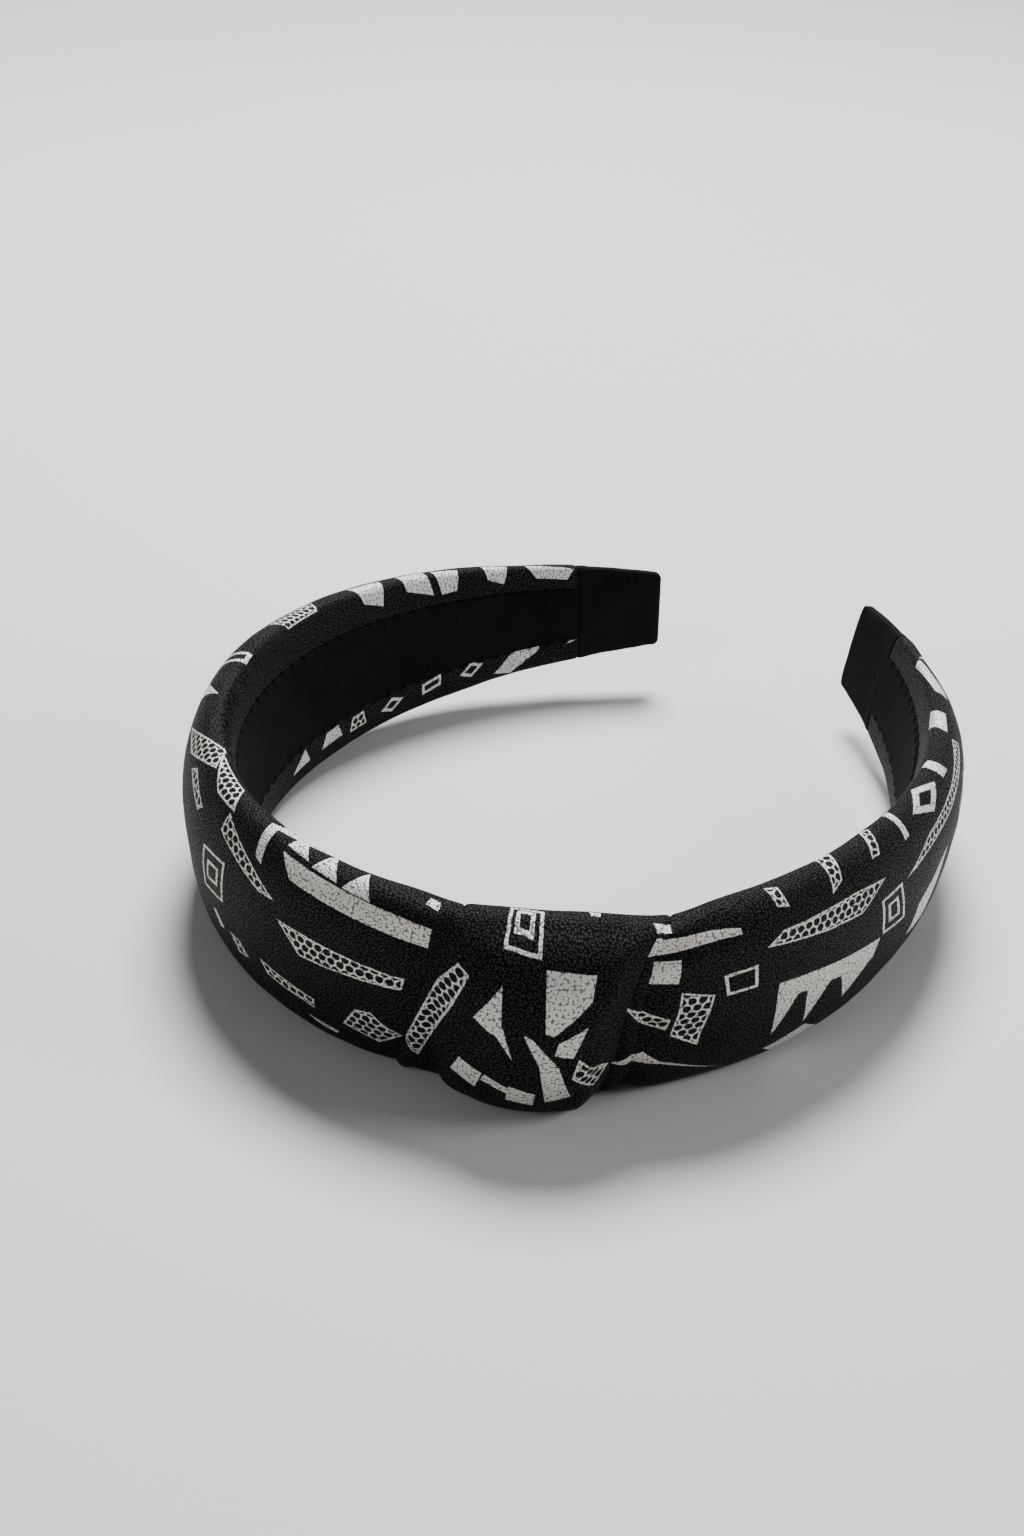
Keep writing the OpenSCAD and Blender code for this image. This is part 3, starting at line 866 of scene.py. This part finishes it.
SOLID_LEFT = [
    [(-19.4, 18.9), (-16.2, 15.3), (7.6, 12.6), (7.9, 16.2)],
    [(-19.6, 20.2), (-18.6, 24.4), (-14.6, 19.6)],
    [(-13.4, 19.0), (-11.6, 23.8), (-8.4, 18.4)],
    [(-7.2, 18.0), (-4.6, 22.6), (-2.2, 17.4)],
    [(-22.4, 14.8), (-24.0, 15.4), (-25.6, 21.8), (-23.6, 22.4)],
    [(-23.6, 21.4), (-23.4, 23.0), (-12.4, 24.2), (-12.2, 23.2)],
    [(6.0, 20.2), (8.2, 19.6), (8.0, 21.4), (6.4, 21.8)],
    ([(-38.5, 8.6), (-31.0, 9.6), (-31.8, 0.9), (-39.3, -0.6)], 0.5),
    ([(-36.8, 6.6), (-32.8, 7.1), (-33.3, 3.2), (-37.3, 2.5)], 0.55),
    [(-36.8, -3.9), (-35.5, -3.6), (-33.0, -5.9), (-34.6, -6.5)],
    [(-13.6, -11.7), (-7.5, -12.6), (-8.0, -13.7), (-10.6, -13.5)],
    [(-119.5, 18.2), (-127.2, 18.0), (-125.8, 24.0), (-121.0, 23.0)],
    [(-131.4, 17.2), (-137.4, 16.4), (-138.6, 22.2), (-132.2, 21.4)],
    [(-139.4, 16.6), (-145.2, 16.4), (-144.2, 21.0), (-140.6, 22.0)],
    [(-150.8, 15.0), (-156.4, 14.6), (-155.2, 18.6), (-151.6, 18.2)],
    [(-160.4, 13.6), (-171.0, 13.2), (-169.4, 15.8), (-162.6, 16.4)],
    (rectangle(-84.8, -81.0, 16.6, 23.0, 0.4), 0.9),
    [(-72.0, 15.0), (-76.8, 16.3), (-69.0, 21.2)],
    [(-94.6, -26.4), (-101.2, -26.0), (-99.4, -29.6)],
    [(-105.4, -25.8), (-112.0, -25.4), (-110.8, -28.4), (-107.0, -28.6)],
    (diamond(-126.4, -24.4, 3.0, 1.6), 0.6),
    (rectangle(-139.2, -134.4, -24.6, -22.2), 0.6),
    (diamond(-146.8, -21.6, 2.8, 1.7), 0.6),
    [(-152.4, -17.6), (-156.4, -15.8), (-162.6, -18.4), (-164.0, -20.6), (-157.6, -21.2)],
    [(-169.4, -17.4), (-173.0, -17.4), (-171.8, -18.8)],
]
NET_LEFT = [
    [(-18.0, 7.2), (-13.2, 2.0), (4.2, 3.2), (4.6, 6.6), (-12.8, 6.8)],
    [(-33.6, 18.0), (-33.8, 14.4), (-22.0, 9.8), (-18.6, 10.0), (-25.0, 14.0)],
    [(-49.0, 22.6), (-39.5, 18.4), (-33.0, 18.6), (-36.5, 22.6)],
    [(-63.0, 15.6), (-55.5, 15.4), (-45.0, 20.2), (-49.5, 23.2)],
    [(-51.4, 15.0), (-49.0, 16.8), (-41.3, 14.0), (-43.0, 12.3)],
    [(-22.2, -4.6), (-21.0, -7.2), (-11.2, -8.6), (-11.0, -6.4)],
    [(-30.9, -5.0), (-28.0, -4.8), (-25.8, -7.2), (-29.0, -8.2)],
    [(-6.0, -9.2), (-3.5, -4.4), (-0.8, -3.8), (3.8, -8.0), (0.0, -10.9)],
    [(-97.4, 19.0), (-109.8, 18.8), (-108.6, 22.0), (-98.6, 23.0)],
    [(-114.4, -24.6), (-119.2, -24.2), (-118.4, -27.4), (-115.2, -27.6)],
]

SOLID_RIGHT = [
    BORDER_FLECK,
    [(38.0, 17.4), (53.0, 15.4), (53.0, 14.5), (37.8, 13.9)],
    [(39.8, 12.8), (43.6, 12.6), (43.4, 8.0), (39.0, 8.6)],
    [(35.8, 10.8), (38.2, 14.2), (37.6, 14.4)],
    [(34.4, -8.0), (39.2, -5.8), (42.8, -9.4)],
    [(40.6, -7.8), (42.6, -9.6), (52.6, -14.4)],
    ([(50.3, 7.9), (55.7, 8.5), (55.9, 4.2), (50.9, 4.0)], 0.5),
    [(59.8, 3.2), (83.6, 0.4), (82.6, -3.4), (60.2, -1.0)],
    [(60.2, -0.6), (64.4, -1.2), (60.8, -9.4)],
    [(66.2, -1.2), (71.6, -2.0), (67.6, -9.8)],
    [(74.0, -2.2), (82.4, -3.2), (76.4, -8.8)],
    [(60.8, -13.6), (68.6, -11.2), (73.2, -14.8), (64.0, -16.8)],
    ([(82.2, 9.0), (88.4, 9.5), (91.0, 0.6), (84.2, 0.8)], 0.55),
    ([(84.2, 7.2), (87.3, 7.3), (88.7, 2.8), (85.4, 2.8)], 0.6),
    [(91.0, 16.4), (92.4, 16.6), (93.2, 23.0), (91.6, 23.2)],
    (diamond(102.8, 18.8, 6.2, 3.0), 1.3),
    [(112.0, 17.6), (115.2, 17.4), (115.4, 21.4), (112.6, 22.2)],
    [(128.6, 18.0), (136.2, 17.4), (137.4, 20.4), (131.0, 22.0)],
    [(144.0, 14.8), (160.6, 14.6), (158.4, 16.8), (146.0, 17.2)],
    [(95.4, -6.8), (97.0, -0.6), (109.0, 4.8), (108.4, 1.0), (102.0, -6.4)],
]
NET_RIGHT = [
    [(44.0, 6.0), (49.0, 4.6), (47.4, -6.0), (43.0, -3.0)],
    [(35.6, 4.6), (38.6, 0.2), (42.2, -1.6), (42.6, 1.0)],
    [(57.2, 11.3), (60.0, 13.5), (76.0, 13.9), (83.2, 13.1), (77.0, 9.2), (68.5, 9.8)],
    [(59.2, 21.0), (61.2, 20.6), (61.7, 17.0), (59.7, 17.4)],
    [(71.8, 23.4), (75.0, 23.0), (73.2, 17.2), (70.6, 15.8)],
    [(83.8, 23.5), (85.6, 22.4), (83.2, 17.5), (81.2, 17.6)],
    [(90.2, 9.4), (110.0, 12.2), (128.2, 14.8), (127.0, 17.0), (99.0, 13.4)],
]


def more_shapes(start, end, low, high, step, seed):
    """The rest of the print, on faces that show no other shapes: filled, outlined and netted."""
    solid, net = [], []
    count = round((end - start) / step)
    for k in range(count):
        for row in range(3):
            wobble = [noise.noise(Vector((k * 1.7, row * 2.3, seed + j))) for j in range(3)]
            s = start + (k + 0.5 + 0.3 * (row % 2) + 0.5 * wobble[0]) * (end - start) / count
            v = low + (row + 0.5 + 0.5 * wobble[1]) * (high - low) / 3
            turn, size = 3.0 * wobble[2], 1.35 + 0.7 * wobble[0]
            kind = (k + 2 * row + k // 3) % 5
            if kind == 0:
                shape = [(-3.4, -1.2), (3.6, -2.0), (3.4, 0.2), (-2.0, 1.8)]
            elif kind == 1:
                shape = [(-2.6, -2.2), (2.8, -0.6), (-0.6, 2.8)]
            elif kind == 2:
                shape = diamond(0, 0, 2.8, 3.4)
            elif kind == 3:
                shape = [(-6.0, -1.0), (4.6, -1.9), (5.8, 0.9), (-4.2, 1.6)]
            else:
                shape = rectangle(-2.2, 2.2, -2.4, 2.4)
            turned = [(s + size * (x * math.cos(turn) - y * math.sin(turn)),
                       v + size * (x * math.sin(turn) + y * math.cos(turn))) for x, y in shape]
            if kind == 3:
                net.append(turned)
            else:
                solid.append((turned, 0.65) if kind in (2, 4) else turned)
    return solid, net


# ---- assembly ----

LEATHER_KNOT = printed_leather("knot_leathercloth", SOLID_KNOT, NET_KNOT)
solid, net = more_shapes(-166, -62, -15, 13, 14.5, 3.0)
LEATHER_LEFT = printed_leather("left_leathercloth", SOLID_LEFT + solid, NET_LEFT + NET_KNOT[1:] + net)
solid, net = more_shapes(114, 166, -14, 10, 14.5, 8.0)
LEATHER_RIGHT = printed_leather("right_leathercloth", SOLID_RIGHT + solid, NET_RIGHT + net)
RIBBON = woven("lining_ribbon_cloth", (0.0012, 0.0012, 0.0012), (0.0110, 0.0106, 0.0102), 0.9)
CAP_CLOTH = woven("tip_cap_cloth", (0.0014, 0.0014, 0.0015), (0.0130, 0.0130, 0.0134), 0.7)
THREAD = thread_material()
FOAM = foam_material("band_foam", (0.42, 0.36, 0.24), (0.80, 0.74, 0.58), 1.6)
WADDING = foam_material("loose_wadding", (0.60, 0.58, 0.54), (0.86, 0.85, 0.82), 0.8)


def dress(piece, material, replaced=(), side=None):
    piece.data.materials.append(material)
    if replaced:
        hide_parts(*replaced)
    if side is None:
        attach(piece, "crown")
    else:
        across_hinge(piece)
    return piece


dress(make_cover(-1), LEATHER_LEFT, ("cover_left", "cover_crown_left"), -1)
dress(make_cover(1), LEATHER_RIGHT, ("cover_right", "cover_crown_right"), 1)
dress(make_wrap(), LEATHER_KNOT, ("knot_wrap",))
dress(make_under(-1), LEATHER_LEFT, ("knot_under_left",))
dress(make_under(1), LEATHER_RIGHT, ("knot_under_right",))
dress(make_wadding(), WADDING, ("knot_filling",))
dress(make_foam(-1), FOAM, ("pad_left", "pad_crown"), -1)
dress(make_foam(1), FOAM, ("pad_right",), 1)

for side, replaced in ((-1, ("lining_left", "lining_crown")), (1, ("lining_right",))):
    ribbon = dress(make_lining(side), RIBBON, replaced, side=side)

for side, body in ((-1, "left_arm"), (1, "right_arm")):
    cap = make_cap(side)
    cap.data.materials.append(CAP_CLOTH)
    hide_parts("cap_left" if side < 0 else "cap_right")
    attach(cap, body)

dress(make_stitches(-1), THREAD, ("stitches_left", "stitches_crown"), side=-1)
dress(make_stitches(1), THREAD, ("stitches_right",), side=1)
dress(make_tacks(), THREAD, ("knot_tacks",))

CORE = core_material()
for node in ("core_crown", "core_left", "core_right"):
    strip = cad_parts[node]
    for slot in strip.material_slots:
        slot.material = CORE


# ---- stage, light and camera ----

def make_floor():
    size, rows = 3.0, 13
    line = np.linspace(-size, size, rows)
    points = [(x, y, 0.0) for y in line for x in line]
    floor = new_object("floor", points, grid_faces(rows, rows, flip=True))
    floor.data.materials.append(floor_material())
    floor.location.z = -0.0002


def area_light(name, where, target, size, power, colour=(1, 1, 1)):
    light = bpy.data.lights.new(name, "AREA")
    light.shape, light.size, light.energy, light.color = "DISK", size, power, colour
    lamp = bpy.data.objects.new(name, light)
    lamp.location = where
    lamp.rotation_euler = (Vector(target) - Vector(where)).to_track_quat("-Z", "Y").to_euler()
    bpy.context.scene.collection.objects.link(lamp)


def make_light():
    world = bpy.data.worlds.new("studio")
    bpy.context.scene.world = world
    world.use_nodes = True
    background = world.node_tree.nodes["Background"]
    background.inputs["Color"].default_value = (0.93, 0.95, 1.0, 1)
    background.inputs["Strength"].default_value = 0.12
    middle = (0, 0, 0.015)
    area_light("key_softbox", (-0.20, 0.45, 0.80), middle, 0.40, 20.0, (1.0, 0.98, 0.95))
    area_light("side_softbox", (0.75, 0.25, 0.45), middle, 0.35, 3.0)
    area_light("front_fill", (-0.25, -0.85, 0.55), middle, 0.5, 1.5)


def make_camera():
    """The photographed viewing angle, aimed a little off the middle of the hoop."""
    turn, rise, roll = math.radians(24.8), math.radians(31.2), math.radians(-3.0)
    distance, slide, drop, below_middle = 0.470, -0.00955, 0.00764, 3.757
    aim = Vector((-CENTRE[0] * MM, -CENTRE[1] * MM, (MID_Z - below_middle) * MM))
    back = Vector((math.sin(turn) * math.cos(rise), -math.cos(turn) * math.cos(rise), math.sin(rise)))
    right = Vector((math.cos(turn), math.sin(turn), 0))
    up = back.cross(right)
    where = aim + slide * right + drop * up + distance * back
    across = math.cos(roll) * right - math.sin(roll) * up
    upward = math.sin(roll) * right + math.cos(roll) * up
    camera = bpy.data.objects.new("camera", bpy.data.cameras.new("camera"))
    camera.data.lens, camera.data.sensor_width = 58.125, 36.0
    camera.data.clip_start = 0.01
    pose = Matrix((across, upward, back)).transposed().to_4x4()
    pose.translation = where
    camera.matrix_world = pose
    bpy.context.scene.collection.objects.link(camera)
    bpy.context.scene.camera = camera


make_floor()
make_light()
make_camera()
